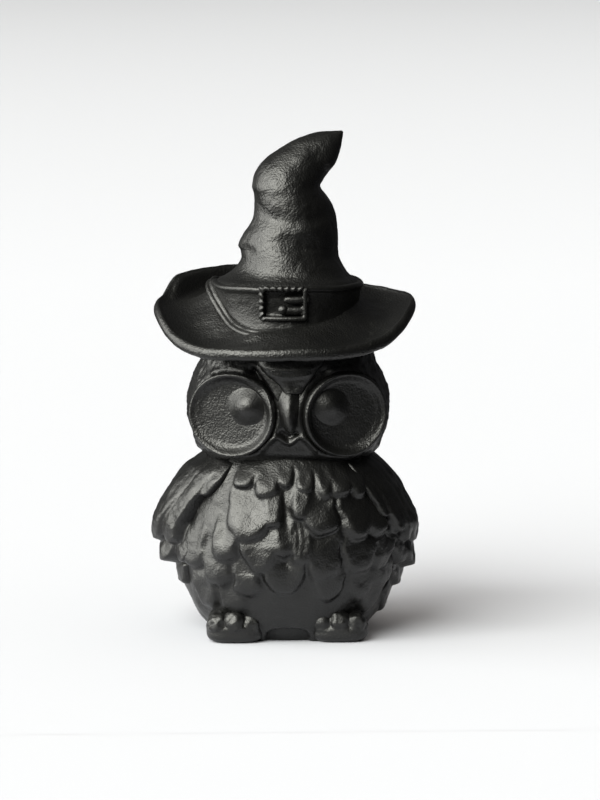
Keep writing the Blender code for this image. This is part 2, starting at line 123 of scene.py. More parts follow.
# Crown sections: X and Z of the right-hand edge, X and Z of the left-hand edge, Y of the middle, half depth.
CROWN_SECTIONS = [
    (-9.2, 49.0, 9.2, 49.0, 0.3, 9.0),
    (-9.0, 50.4, 9.3, 50.4, 0.3, 8.9),
    (-9.9, 52.6, 10.3, 52.6, 0.3, 9.6),
    (-11.0, 54.4, 11.4, 54.4, 0.3, 10.5),
    (-11.1, 55.4, 11.35, 55.4, 0.3, 10.7),
    (-10.5, 56.0, 11.0, 56.0, 0.3, 10.1),
    (-9.3, 56.6, 10.25, 56.6, 0.4, 9.2),
    (-8.1, 57.4, 9.6, 57.4, 0.5, 8.5),
    (-7.3, 58.4, 9.1, 58.4, 0.5, 8.0),
    (-6.9, 59.5, 8.6, 59.5, 0.6, 7.65),
    (-7.0, 60.6, 8.5, 60.6, 0.7, 7.35),
    (-7.25, 61.4, 8.45, 61.4, 0.8, 7.1),
    (-6.35, 63.3, 8.4, 63.3, 0.8, 6.85),
    (-5.4, 64.7, 8.2, 64.7, 0.9, 6.7),
    (-4.85, 66.0, 8.1, 66.0, 1.0, 6.3),
    (-4.75, 67.8, 7.45, 67.8, 1.1, 6.0),
    (-4.85, 69.3, 6.5, 69.3, 1.2, 5.7),
    (-5.15, 70.8, 5.6, 70.5, 1.2, 5.4),
    (-4.45, 72.9, 6.1, 71.5, 1.4, 5.1),
    (-3.15, 74.65, 6.95, 72.7, 1.7, 4.7),
    (-0.6, 76.5, 8.05, 74.1, 2.0, 4.1),
    (2.0, 78.0, 8.65, 75.6, 2.4, 3.2),
    (5.2, 79.0, 9.15, 77.2, 2.7, 1.9),
    (7.8, 79.15, 9.3, 78.4, 2.9, 0.8),
    (9.1, 79.2, 9.35, 79.0, 2.9, 0.2),
]

# The band's outer face: height, half width, half depth.
BAND_STATIONS = [
    (48.0, 11.7, 11.5),
    (49.6, 11.3, 11.1),
    (51.6, 11.2, 11.0),
    (53.6, 11.5, 11.15),
    (55.8, 11.75, 11.4),
]
BAND_X = 0.4
BAND_Y = 0.3
BUCKLE_X = -0.6
BUCKLE_Z = 53.3
BUCKLE_HALF_WIDTH = 3.4
BUCKLE_HALF_HEIGHT = 2.35


# ---- Numeric helpers ----
COARSE_CELL, FINE_CELL = 2.6, 0.8  # sizes of the two kinds of unevenness that a hand leaves


def smooth_step(low, high, value):
    """0 up to low and 1 from high on, with a soft S between them; low may be the larger one."""
    t = np.clip((value - low) / (high - low), 0.0, 1.0)
    return t * t * (3.0 - 2.0 * t)


def full_turn(count):
    return np.linspace(0, 2 * math.pi, count, endpoint=False)


def along(stations, position, axis=0):
    """Smooth cubic curve through the stations, read where their column `axis` equals position."""
    table = np.array(stations, float)
    keys = table[:, axis]
    slopes = np.gradient(table, keys, axis=0)
    place = np.asarray(position, float)
    i = np.clip(np.searchsorted(keys, place) - 1, 0, len(keys) - 2)
    span = (keys[i + 1] - keys[i])[..., None]
    t = (np.clip(place, keys[0], keys[-1]) - keys[i])[..., None] / span
    rise = table[i + 1] - table[i]
    bend = 3 * rise - (2 * slopes[i] + slopes[i + 1]) * span
    twist = -2 * rise + (slopes[i] + slopes[i + 1]) * span
    return np.moveaxis(table[i] + slopes[i] * span * t + bend * t**2 + twist * t**3, -1, 0)


def between(stations, position):
    """Straight lines through stations of position and value."""
    return np.interp(position, *zip(*stations))


def lattice_noise(points, cell, seed):
    """Smooth noise from -1 to 1: a seeded lattice of random values, blended between its corners."""
    size = 64
    values = np.random.default_rng(seed).uniform(-1, 1, (size, size, size))
    scaled = np.asarray(points, float) / cell
    base = np.floor(scaled).astype(int)
    t = scaled - base
    t = t * t * (3 - 2 * t)
    total = 0.0
    for corner in np.ndindex(2, 2, 2):
        index = (base + corner) % size
        weight = np.prod(np.where(corner, t, 1 - t), axis=-1)
        total = total + weight * values[index[..., 0], index[..., 1], index[..., 2]]
    return total


def hand_worked(points, seed, coarse=0.12, fine=0.02):
    """Uneven surface of a hand-worked sculpture, as a distance for each point."""
    waves = coarse * lattice_noise(points, COARSE_CELL, seed)
    return waves + fine * lattice_noise(points, FINE_CELL, seed + 1)


def curve_through(path, count=48):
    """Points along a smooth curve through the given ones."""
    numbered = [(index, *point) for index, point in enumerate(path)]
    return along(numbered, np.linspace(0, len(path) - 1, count))[1:].T


def on_front(points):
    """1 on the front half, fading to 0 at the sides."""
    return smooth_step(1.0, -2.5, points[..., 1])


def stroke(points, path, width, height):
    """Soft ridge, or groove where height is negative, along a path of X and Z on the front."""
    line = curve_through(path)
    flat = points[..., [0, 2]].reshape(-1, 1, 2)
    gap = np.linalg.norm(flat - line, axis=-1).min(1).reshape(points.shape[:-1])
    return height * np.exp(-((gap / width) ** 2)) * on_front(points)


def mound(points, x, z, wide, tall, height):
    """Soft bump, or hollow where height is negative, on the front."""
    shape = ((points[..., 0] - x) / wide) ** 2 + ((points[..., 2] - z) / tall) ** 2
    return height * np.exp(-shape) * on_front(points)


# ---- Mesh helpers ----
def new_piece(name, points, faces, node=None, slot_name="resin_body"):
    """Mesh piece from points in millimetres, riding on the owl and standing for a CAD node."""
    mesh = bpy.data.meshes.new(name)
    mesh.from_pydata((np.asarray(points, float) * MM).tolist(), [], faces)
    mesh.shade_smooth()
    mesh.update()
    piece = bpy.data.objects.new(name, mesh)
    bpy.context.scene.collection.objects.link(piece)
    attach(piece, ROOT)
    if node:
        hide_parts(node)
    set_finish(piece, slot_name)
    return piece


def grid_quads(rows, columns, start=0, wrap=True):
    """Four-sided faces of a grid of points, its last column joined to its first where it wraps."""
    row = np.arange(rows - 1)[:, None] * columns
    column = np.arange(columns if wrap else columns - 1)[None, :]
    right = (column + 1) % columns
    quads = np.stack([row + column, row + right, row + columns + right, row + columns + column], -1)
    return (quads.reshape(-1, 4) + start).tolist()


def closed_stack(grid):
    """Points and faces of rings stacked bottom to top, each end closed by one face."""
    rows, columns = grid.shape[:2]
    faces = grid_quads(rows, columns)
    faces.append(list(range(columns))[::-1])
    faces.append(list(range((rows - 1) * columns, rows * columns)))
    return grid.reshape(-1, 3), faces


def closed_plate(outer, inner):
    """Points and faces of a curved plate between two grids of the same shape."""
    rows, columns = outer.shape[:2]
    count = rows * columns
    faces = grid_quads(rows, columns, 0, wrap=False)
    faces += [face[::-1] for face in grid_quads(rows, columns, count, wrap=False)]
    border = [(0, j) for j in range(columns)]
    border += [(i, columns - 1) for i in range(1, rows)]
    border += [(rows - 1, j) for j in range(columns - 2, -1, -1)]
    border += [(i, 0) for i in range(rows - 2, 0, -1)]
    ids = [i * columns + j for i, j in border]
    for a, b in zip(ids, ids[1:] + ids[:1]):
        faces.append([b, a, a + count, b + count])
    return np.concatenate([outer.reshape(-1, 3), inner.reshape(-1, 3)]), faces


def ring_loop(grid):
    """Points and faces of a ring: rows of cross-section points, joined end to start both ways."""
    rows, columns = grid.shape[:2]
    wrapped = np.concatenate([grid, grid[:1]])
    faces = np.array(grid_quads(rows + 1, columns))
    return wrapped[:-1].reshape(-1, 3), (faces % (rows * columns)).tolist()


def on_section(stations, power, z, angle, lift=0.0, x=BODY_X):
    """Points on a body or head section, a distance outside it."""
    _, half_width, front, back = along(stations, z)
    side, forward = np.sin(angle), np.cos(angle)
    depth = np.where(forward > 0, front, back)
    reach = (np.abs(side / half_width) ** power + np.abs(forward / depth) ** power) ** (-1 / power)
    reach = reach + lift
    return np.stack([reach * side + x, -reach * forward, z + 0 * reach], -1)


def on_body(z, angle, lift=0.0):
    return on_section(BODY_STATIONS, BODY_POWER, z, angle, lift)


def round_shell(middle, radii, power=2.0, rows=24, columns=40):
    """Closed egg or rounded block around a middle point."""
    up = np.linspace(-math.pi / 2, math.pi / 2, rows + 2)[1:-1, None]
    turn = full_turn(columns)[None, :]
    ease = 2 / power

    def bent(value):
        return np.sign(value) * np.abs(value) ** ease

    level = bent(np.cos(up))
    grid = np.stack([level * bent(np.cos(turn)), level * bent(np.sin(turn)), bent(np.sin(up)) + 0 * turn], -1)
    return closed_stack(grid * np.array(radii) + np.array(middle))


def tube(path, radius, columns=20, count=60):
    """Closed round bar along a smooth curve, thinning to nothing at its ends."""
    middle = curve_through(path, count)
    tangent = np.gradient(middle, axis=0)
    tangent /= np.linalg.norm(tangent, axis=1)[:, None]
    side = np.cross(tangent, (0.0, 1.0, 0.0))
    side /= np.linalg.norm(side, axis=1)[:, None]
    other = np.cross(side, tangent)
    share = np.linspace(-1, 1, count)
    thick = radius * np.clip(1 - share**8, 0.02, 1) ** 0.5
    turn = full_turn(columns)[None, :, None]
    ring = side[:, None] * np.cos(turn) + other[:, None] * np.sin(turn)
    return closed_stack(middle[:, None] + thick[:, None, None] * ring)


def fused(shells, voxel, smoothing):
    """Overlapping closed shells melted into one surface: its points, faces and normals."""
    points, faces = [], []
    for shell_points, shell_faces in shells:
        start = len(points)
        points.extend(shell_points.tolist())
        faces.extend([index + start for index in face] for face in shell_faces)
    mesh = bpy.data.meshes.new("shells")
    mesh.from_pydata(points, [], faces)
    lump = bpy.data.objects.new("shells", mesh)
    bpy.context.scene.collection.objects.link(lump)
    remesh = lump.modifiers.new("melt", "REMESH")
    remesh.mode = "VOXEL"
    remesh.voxel_size = voxel
    soften = lump.modifiers.new("soften", "SMOOTH")
    soften.factor = 0.5
    soften.iterations = smoothing
    solid = lump.evaluated_get(bpy.context.evaluated_depsgraph_get()).to_mesh()
    found = np.array([vertex.co[:] for vertex in solid.vertices])
    normals = np.array([vertex.normal[:] for vertex in solid.vertices])
    quads = [list(face.vertices) for face in solid.polygons]
    bpy.data.objects.remove(lump)
    bpy.data.meshes.remove(mesh)
    return found, quads, normals


# ---- Feathers ----
# Chest feathers: distance round the chest, Z of the tip, width, length. Upper ones lie over lower ones.
CHEST_FEATHERS = [
    (-8.6, 24.8, 4.4, 5.0), (-4.2, 23.6, 4.2, 5.6), (-0.8, 25.2, 2.6, 4.0), (2.4, 24.0, 2.8, 4.8),
    (5.6, 23.2, 3.2, 5.4), (9.0, 23.4, 3.6, 5.4), (12.4, 23.2, 3.6, 5.4),
    (-7.1, 16.8, 7.0, 7.2), (-3.0, 19.0, 3.2, 6.2), (1.6, 20.4, 2.4, 5.4), (5.0, 17.7, 5.4, 7.2),
    (10.9, 16.8, 5.6, 7.4), (15.4, 17.0, 4.4, 6.6),
    (-10.8, 13.2, 4.6, 7.0), (-5.3, 11.8, 5.8, 7.4), (-1.2, 14.4, 3.2, 6.0), (1.6, 13.2, 2.8, 5.8),
    (5.3, 10.5, 5.4, 7.6), (11.2, 10.8, 5.6, 7.4), (16.6, 12.0, 4.8, 6.4),
    (-17.4, 11.6, 4.6, 6.4), (-12.6, 8.8, 5.0, 7.4), (-7.5, 7.7, 4.8, 6.6), (-1.0, 8.4, 6.2, 7.0),
    (6.2, 6.8, 5.0, 6.6), (12.6, 6.4, 5.4, 6.6), (17.6, 7.8, 5.0, 6.4),
    (-16.4, 5.0, 5.0, 6.2), (-10.8, 4.6, 5.0, 6.0), (15.6, 4.2, 5.2, 6.2),
]
FEATHER_LIFT = 1.75
BACK_FEATHER_LIFT = 0.9
# Soft hollow down the middle of the chest, and two quills beside it: X and Z.
CHANNEL = ((-1.0, 24.0), (-0.2, 20.0), (0.2, 17.0), (-0.4, 13.6))
QUILL_X = (0.8, 1.6)


def scale_relief(across, z, feathers, lift, edge=2.1):
    """Height of overlapping scales, each a soft dome that is thickest at its round tip."""
    height = np.zeros(np.broadcast(across, z).shape)
    for x, tip_z, width, length in feathers:
        u = (across - x) / (0.5 * width)
        inside = np.abs(u) < 1
        bow = np.sqrt(np.clip(1 - u**2, 0, 1))
        above = z - tip_z - 0.42 * width * (1 - bow)
        lip = np.sqrt(np.clip(1 - (1 - np.clip(above / edge, 0, 1)) ** 2, 0, 1))
        body = np.clip(1 - above / length, 0, 1)
        side = 1 - 0.65 * (1 - bow**0.7) * smooth_step(0.3, 0.9, body)
        height = np.maximum(height, np.where(inside, lift * body * lip * side, 0))
    return height


def soften(field, passes):
    """The same height field with its sharp steps rounded off, as in a casting."""
    for _ in range(passes):
        for axis in (0, 1):
            field = 0.5 * field + 0.25 * (np.roll(field, 1, axis) + np.roll(field, -1, axis))
    return field


def rule_feathers(rows, width, low, high, spread):
    """Even rows of feathers between two heights, every second row shifted by half a feather."""
    feathers = []
    for row, tip_z in enumerate(np.linspace(high, low, rows)):
        shift = 0.5 * width * (row % 2)
        for x in np.arange(-spread, spread + width, width):
            feathers.append((float(x) + shift, float(tip_z), width * 1.04, 1.6 * (high - low) / rows))
    return feathers


def make_body():
    """Egg-shaped trunk: the chest's own feathers in front, even rows of them behind."""
    angle = np.radians(np.arange(-180, 180, 0.8))[None, :]
    z = np.linspace(0.0, NECK_Z + 1.2, 152)[:, None]
    smooth = on_body(z, angle)
    warp = 0.6 * lattice_noise(smooth, 2.2, 5)
    across = angle * BODY_ARC + warp
    chest = scale_relief(across, z + 0.8 * warp, CHEST_FEATHERS, FEATHER_LIFT)
    fade = smooth_step(1.0, 6.0, z) * smooth_step(NECK_Z + 0.5, NECK_Z - 4.0, z)
    belly = 0.7 + 0.3 * smooth_step(6.0, 13.0, z)
    rows = rule_feathers(rows=6, width=5.2, low=5.0, high=24.0, spread=30.0)
    behind = (np.abs(angle) - math.pi) * np.sign(angle) * BODY_ARC
    back = scale_relief(behind, z, rows, BACK_FEATHER_LIFT)
    front = smooth_step(math.radians(105), math.radians(85), np.abs(angle))
    relief = soften(fade * belly * (front * chest + (1 - front) * back), 2)
    channel = stroke(smooth, CHANNEL, 0.7, -0.25)
    quills = sum(stroke(smooth, ((x, 20.0), (x + 0.3, 17.5), (x, 15.0)), 0.25, 0.12) for x in QUILL_X)
    arch = arch_hollow(smooth)
    rough = hand_worked(smooth, 14, 0.26, 0.06) * smooth_step(0.0, 1.0, z)
    lift = relief + channel + quills + rough - arch
    points = on_body(z, angle, lift)
    return new_piece("body_cast", *closed_stack(points), node="body")


ARCH_HALF_WIDTH, ARCH_HEIGHT, ARCH_DEPTH = 3.8, 2.4, 1.3


def arch_hollow(points):
    """The low arch between the feet, as a depth."""
    x, y, z = points[..., 0], points[..., 1], points[..., 2]
    shape = (np.abs(x) / ARCH_HALF_WIDTH) ** 3 + (z / ARCH_HEIGHT) ** 3
    return ARCH_DEPTH * smooth_step(1.15, 0.75, shape) * (y < 0)


# Wing feathers: distance round the body and height of the root, the same of the tip, width, thickness.
# The owl's right wing has a few broad long feathers, and its left one narrow ridges, each over layers
# of short broad ones.
RIGHT_WING = [
    (13.4, 30.5, 16.4, 23.0, 4.2, 1.3), (15.8, 31.0, 23.0, 15.2, 5.6, 2.8),
    (19.6, 31.0, 27.0, 14.8, 6.0, 4.0), (24.8, 30.0, 31.8, 14.2, 6.6, 3.9),
    (31.0, 29.5, 38.0, 13.4, 6.8, 3.2),
    (18.8, 18.0, 21.0, 12.2, 5.4, 1.6), (23.0, 18.0, 25.6, 11.5, 5.8, 3.2),
    (28.0, 18.0, 31.0, 11.2, 5.8, 3.0), (33.0, 18.0, 37.0, 9.8, 6.0, 2.2),
    (22.8, 12.0, 24.6, 8.0, 4.6, 1.0), (27.4, 12.0, 29.6, 7.6, 5.2, 1.0),
    (32.4, 12.0, 35.0, 6.6, 5.2, 1.0),
]
LEFT_WING = [
    (13.6, 29.5, 16.8, 19.6, 2.9, 1.5), (15.4, 29.5, 19.6, 17.0, 3.0, 2.1),
    (17.6, 29.5, 22.4, 15.2, 3.1, 2.6), (20.2, 29.5, 25.2, 14.3, 3.2, 3.0),
    (23.0, 29.5, 28.2, 14.0, 3.6, 3.2), (26.4, 29.5, 31.8, 13.6, 4.4, 3.2),
    (31.0, 29.5, 37.4, 13.0, 6.4, 2.8),
    (18.8, 19.0, 23.0, 11.6, 6.4, 1.8), (22.6, 18.0, 26.6, 10.4, 6.6, 3.1),
    (28.4, 18.0, 32.0, 9.6, 6.0, 2.8), (33.4, 18.0, 37.4, 8.8, 6.0, 2.0),
    (22.8, 12.0, 26.0, 7.8, 5.4, 1.5), (28.0, 12.0, 30.4, 6.6, 5.4, 1.4),
    (32.8, 12.0, 35.2, 6.2, 5.2, 1.2),
    (21.0, 8.0, 24.2, 3.6, 4.6, 0.7), (26.0, 8.0, 28.6, 3.2, 5.0, 0.9),
]
WINGS = {-1: RIGHT_WING, 1: LEFT_WING}
WING_FRONT, WING_BACK = 34, 166  # degrees round from the front
WING_INSIDE = -2.2  # the wing's inner face lies this far inside the body
WING_SUNK = 0.8  # how deep the wing sinks where it has no feather


def long_feather(arc, z, feather):
    """Height of one long feather: a ridge from its root to a round tip, thickest near the tip."""
    root_arc, root_z, tip_arc, tip_z, width, thick = feather
    run, fall = tip_arc - root_arc, tip_z - root_z
    length = math.hypot(run, fall)
    share = ((arc - root_arc) * run + (z - root_z) * fall) / length**2
    off = np.abs((arc - root_arc) * fall - (z - root_z) * run) / length / (0.5 * width)
    round_end = 0.5 * width / length
    end = np.sqrt(np.clip(1 - (np.clip(share - 1 + round_end, 0, None) / round_end) ** 2, 0, 1))
    bow = np.sqrt(np.clip(1 - off**2, 0, 1))
    edge = smooth_step(0.0, 0.24, end - off)
    grow = 0.3 + 0.7 * smooth_step(-0.1, 0.85, share)
    return thick * grow * edge * (0.7 + 0.3 * bow) * smooth_step(-0.15, 0.05, share)


def make_wing(word, side):
    """Folded wing: long feathers that run down and back in layers, sunk into the body elsewhere."""
    degrees = np.linspace(WING_FRONT, WING_BACK, 260)[None, :]
    z = np.linspace(2.0, NECK_Z + 0.6, 180)[:, None]
    angle = side * np.radians(degrees)
    smooth = on_body(z, angle)
    warp = 0.45 * lattice_noise(smooth, 2.6, 31 + side)
    arc = np.radians(degrees) * BODY_ARC + warp
    height = np.zeros(arc.shape)
    for feather in WINGS[side]:
        height = np.maximum(height, long_feather(arc, z + 0.6 * warp, feather))
    height = height * smooth_step(WING_BACK - 2, WING_BACK - 16, degrees)
    height = soften(height * smooth_step(NECK_Z + 0.6, NECK_Z - 2.5, z), 2)
    rough = hand_worked(smooth, 41 + side, 0.3, 0.1) * smooth_step(0.0, 0.5, height)
    lift = height + rough - WING_SUNK * smooth_step(0.35, 0.0, height)
    outer = on_body(z, angle, lift)
    inner = on_body(z, angle, WING_INSIDE)
    if side < 0:
        outer, inner = outer[:, ::-1], inner[:, ::-1]
    return new_piece(f"wing_{word}_cast", *closed_plate(outer, inner), node=f"wing_{word}")


# Tail, by height: how far it reaches to each side in degrees, and its thickness.
TAIL_HALF_ANGLE = [(1.2, 6), (3.0, 13), (6.0, 19), (10.0, 18), (15.0, 12), (18.0, 7)]
TAIL_THICKNESS = [(1.2, 1.5), (2.6, 3.2), (4.4, 3.6), (8.0, 2.8), (12.0, 1.8), (18.0, 0.2)]
TAIL_FEATHERS = 3


def make_tail():
    """Short tail low on the back: three rounded feathers side by side."""
    degrees = np.linspace(-30, 30, 90)[None, :]
    z = np.linspace(1.2, 18.0, 90)[:, None]
    angle = math.pi + np.radians(degrees)
    smooth = on_body(z, angle)
    thick = between(TAIL_THICKNESS, z)
    u = degrees / between(TAIL_HALF_ANGLE, z)
    feather_u = 2 * ((0.5 * TAIL_FEATHERS * u + 0.5) % 1.0) - 1
    ridge = 0.5 * np.sqrt(np.clip(1 - feather_u**2, 0, 1)) - 0.3
    tip = smooth_step(1.4, 2.6, z - 1.4 * feather_u**2)
    lift = (thick * (1 - 0.4 * u**2) + ridge + 1) * smooth_step(1.05, 0.85, np.abs(u)) * tip - 1
    lift = lift + hand_worked(smooth, 51)
    outer = on_body(z, angle, lift)
    inner = on_body(z, angle, -1.5)
    return new_piece("tail_cast", *closed_plate(outer, inner), node="tail")


# ---- Feet ----
FOOT_X = 8.2
FOOT_Y = -9.2
SOLE_HEIGHT = 3.6
TOES = [(-2.7, 3.0, -11.5), (-0.1, 3.4, -11.9), (2.5, 3.0, -11.6)]  # X from the foot's middle, Z, Y


def make_foot(word, side):
    """Three low round toes melted into a thick flat sole with round corners."""
    middle = side * FOOT_X
    sole = round_shell((middle, FOOT_Y, 0.5 * SOLE_HEIGHT - 0.2), (4.5, 3.9, 0.5 * SOLE_HEIGHT), 3.2, 40, 90)
    shells = [sole]
    for x, z, y in TOES:
        shells.append(round_shell((middle + x, y, z), (1.6, 1.5, 1.75), 2.2))
        shells.append(round_shell((middle + x, y + 1.8, z), (1.5, 2.2, 1.9), 2.2))
    points, faces, normals = fused(shells, 0.13, 12)
    bumps = hand_worked(points, 61 + side, 0.26, 0.2) * smooth_step(1.6, 2.6, points[:, 2])
    points = points + bumps[:, None] * normals
    points[:, 2] = np.maximum(points[:, 2], 0.0)
    return new_piece(f"foot_{word}_cast", points, faces, node=f"foot_{word}", slot_name="resin_smooth")


# ---- Head and face ----
def eye_axes(side):
    """Across, up and outward directions of an eye dish, and its middle."""
    across = np.array([math.cos(EYE_TOE_OUT), side * math.sin(EYE_TOE_OUT), 0.0])
    outward = np.array([side * math.sin(EYE_TOE_OUT), -math.cos(EYE_TOE_OUT), 0.0])
    middle = np.array([side * EYE_X + EYE_MIDDLE_X, EYE_Y, EYE_Z])
    return across, np.array([0.0, 0.0, 1.0]), outward, middle


def from_eye(points, side):
    """Places of points in a dish: share of the way to its edge, across, up, and distance outward."""
    across, up, outward, middle = eye_axes(side)
    local = points - middle
    u, v = local @ across / EYE_HALF_WIDTH, local @ up / EYE_HALF_HEIGHT
    return np.hypot(u, v), u, v, local @ outward


def brow_notch(degrees, side):
    """Where the deep groove beside the brow cuts the rim of the owl's right eye dish, from 0 to 1."""
    return np.exp(-(((degrees - 42) / 20) ** 2)) * (side < 0)


POCKET_DEPTH = 3.4
# Lines worked into the face: path of X and Z, width, height (negative for a groove).
FACE_LINES = [
    (((-5.6, 42.8), (-4.4, 41.2), (-3.3, 39.5), (-2.4, 38.0)), 0.7, -1.8),
    (((5.9, 42.6), (4.7, 41.5), (3.5, 40.0)), 0.8, -0.5),
    (((-4.0, 31.0), (-2.6, 32.4), (-1.5, 32.8), (-0.5, 32.1), (0.2, 31.8), (0.8, 32.2), (1.7, 32.9),
      (2.8, 32.3), (4.2, 30.8)), 0.42, 0.5),
    (((-0.9, 33.4), (0.1, 32.9), (1.2, 33.4)), 0.45, -0.5),
]


def make_head():
    """Barrel-shaped head: ruffled sides and back, creased face, and a pocket for each eye dish."""
    angle = np.radians(np.arange(-180, 180, 0.7))[None, :]
    z = np.linspace(NECK_Z - 0.6, HEAD_TOP_Z + 0.6, 130)[:, None]
    smooth = on_section(HEAD_STATIONS, HEAD_POWER, z, angle, x=HEAD_X)
    lift = hand_worked(smooth, 71)
    tufts = rule_feathers(rows=14, width=1.5, low=28.0, high=46.0, spread=45.0)
    wavy = angle * HEAD_ARC + 0.4 * lattice_noise(smooth, 1.5, 72)
    rough = scale_relief(wavy, z, tufts, 0.22, 0.5) + hand_worked(smooth, 73, 0.2, 0.12)
    lift = lift + rough * smooth_step(0.45, 0.8, np.abs(angle))
    for path, width, height in FACE_LINES:
        lift = lift + stroke(smooth, path, width, height)
    points = on_section(HEAD_STATIONS, HEAD_POWER, z, angle, lift, x=HEAD_X)
    for side in (-1, 1):
        reach, u, v, out = from_eye(points, side)
        notch = brow_notch(np.degrees(np.arctan2(v, u)), side)
        _, _, outward, _ = eye_axes(side)
        pocket = smooth_step(1.02, 0.97, reach) * (out > -6)
        points = points - (pocket * np.maximum(out + POCKET_DEPTH, 0))[..., None] * outward
        cheek = np.exp(-(((reach - 1.1) / 0.07) ** 2)) * (out > -7)
        points = points + (0.3 * cheek * (1 - notch))[..., None] * outward
    return new_piece("head_cast", *closed_stack(points), node="head")


# Half section of a dish, from behind over the rim to its middle: share of its radius, distance outward.
DISH_SECTION = [
    (0.70, -3.6), (0.90, -3.4), (0.98, -2.6), (1.01, -1.6), (1.02, -0.9), (1.02, -0.35), (1.005, -0.02),
    (0.975, 0.14), (0.94, 0.06), (0.905, -0.2), (0.87, -0.55), (0.83, -0.88), (0.785, -1.12),
    (0.70, -1.27), (0.5, -1.36), (0.3, -1.42), (0.12, -1.46), (0.02, -1.46),
]
DISH_FLOOR = -1.45
PUPIL_RADIUS = 3.6
PUPIL_INWARD, PUPIL_UP = 2.55, 1.4  # the pupils sit towards the beak and a little high


def make_eye_dish(word, side):
    """Round dish: low rolled rim, slanted inner wall and a nearly flat floor."""
    turns = full_turn(240)[None, :]
    share, out = curve_through(DISH_SECTION, 100).T[..., None]
    out = out + 0 * turns
    u, v = share * np.cos(turns), share * np.sin(turns)
    outer_side = np.clip(side * np.cos(turns), 0, 1)
    out = out - 0.85 * outer_side * smooth_step(0.78, 0.95, share)
    out = out - 0.9 * brow_notch(np.degrees(turns), side) * smooth_step(0.84, 0.95, share)
    across, up, outward, middle = eye_axes(side)
    points = (middle + (u * EYE_HALF_WIDTH)[..., None] * across + (v * EYE_HALF_HEIGHT)[..., None] * up
              + out[..., None] * outward)
    bumps = hand_worked(points, 81 + side, 0.07, 0.015)
    points = points + bumps[..., None] * outward
    return new_piece(f"eye_dish_{word}_cast", *closed_stack(points), node=f"eye_dish_{word}",
                     slot_name="resin_grained")


def make_pupil(word, side):
    """Low dome with a soft foot that runs out into the dish's floor."""
    turns = full_turn(90)[None, :]
    share = np.linspace(1.0, 0.02, 50)[:, None]
    dome = (1.55 - 0.2 * side) * (1 - smooth_step(0.0, 1.0, share) ** 1.15)
    across, up, outward, middle = eye_axes(side)
    radius = PUPIL_RADIUS * share
    base = middle - side * PUPIL_INWARD * across + PUPIL_UP * up + DISH_FLOOR * outward
    points = (base + (radius * np.cos(turns))[..., None] * across
              + (radius * np.sin(turns))[..., None] * up + (dome + 0 * turns)[..., None] * outward)
    points = points + hand_worked(points, 91 + side, 0.1, 0.03)[..., None] * outward
    root = points[:1] - 1.0 * outward
    return new_piece(f"pupil_{word}_cast", *closed_stack(np.concatenate([root, points])),
                     node=f"pupil_{word}", slot_name="resin_smooth")


def face_y(x, z):
    """Y of the front of the head."""
    _, half_width, front, _ = along(HEAD_STATIONS, z)
    share = np.clip(np.abs((x - HEAD_X) / half_width), 0, 0.999)
    return -front * (1 - share**HEAD_POWER) ** (1 / HEAD_POWER)


# Beak: height, X of the middle, half width, how far it stands out of the face.
BEAK_STATIONS = [
    (33.2, 0.4, 0.35, -0.4),
    (33.6, 0.35, 0.8, 0.8),
    (34.4, 0.25, 1.35, 1.7),
    (35.6, 0.15, 1.85, 2.1),
    (37.0, 0.1, 2.2, 2.1),
    (38.4, 0.15, 2.35, 1.5),
    (39.6, 0.25, 2.3, 0.7),
    (40.6, 0.3, 2.0, 0.0),
]
BEAK_Y = -13.2
BEAK_BACK_Y = -12.2


def make_beak():
    """Short broad beak: two slanted faces that meet in a rounded ridge, hooked at the tip."""
    z = np.linspace(BEAK_STATIONS[0][0], BEAK_STATIONS[-1][0], 90)[:, None]
    across = np.linspace(-1, 1, 90)[None, :]
    _, middle, half_width, reach = along(BEAK_STATIONS, z)
    ridge = 1 - np.sqrt(across**2 + 0.07) * 0.85
    side = np.sqrt(np.clip(1 - np.abs(across) ** 6, 0, 1))
    x = middle + half_width * across
    y = BEAK_Y - (reach + 1.2) * ridge * (0.25 + 0.75 * side)
    points = np.stack([x, y, z + 0 * across], -1)
    points[..., 1] += hand_worked(points, 101, 0.1, 0.04)
    back = points.copy()
    back[..., 1] = BEAK_BACK_Y
    return new_piece("beak_cast", *closed_plate(points, back), node="beak", slot_name="resin_smooth")


# Brow: height and half width.
BROW_STATIONS = [(39.8, 1.5), (41.0, 2.3), (42.3, 3.7), (43.4, 4.6), (HEAD_TOP_Z, 6.6)]


def make_brow():
    """Wedge of the forehead that narrows down to the beak, with a soft edge."""
    z = np.linspace(BROW_STATIONS[0][0], HEAD_TOP_Z, 80)[:, None]
    u = np.linspace(-1, 1, 90)[None, :]
    x = between(BROW_STATIONS, z) * u + 0.35 + 0.4 * smooth_step(43.2, 41.0, z)
    edge = np.sqrt(np.clip(1 - np.abs(u) ** 4, 0, 1))
    keel = 0.15 * np.exp(-((x / 0.9) ** 2)) * smooth_step(43, 41, z)
    ribs = 0.04 * np.cos((z - 0.12 * np.abs(x)) * 5.5) * smooth_step(40.5, 42.0, z)
    lift = (1.2 + 0.9 * smooth_step(40.6, 43.4, z)) * edge + keel + ribs - 0.4
    points = np.stack([x, face_y(x, z) - lift, z + 0 * u], -1)
    points[..., 1] += hand_worked(points, 111, 0.1, 0.04)
    back = points.copy()
    back[..., 1] = face_y(x, z) + 1.0
    return new_piece("brow_cast", *closed_plate(points, back), node="brow")


# ---- Hat ----
def brim_reach(turn):
    """How far the brim reaches from the hat's middle."""
    side = np.abs(np.sin(turn)) / BRIM_HALF_WIDTH
    forward = np.abs(np.cos(turn)) / BRIM_HALF_DEPTH
    return (side**BRIM_POWER + forward**BRIM_POWER) ** (-1 / BRIM_POWER)


def brim_share(turn, share):
    """Where a point lies between the band and the edge, from 0 to 1."""
    seat = SEAT_RADIUS / brim_reach(turn)
    return np.clip((share - seat) / (1 - seat), 0, 1)


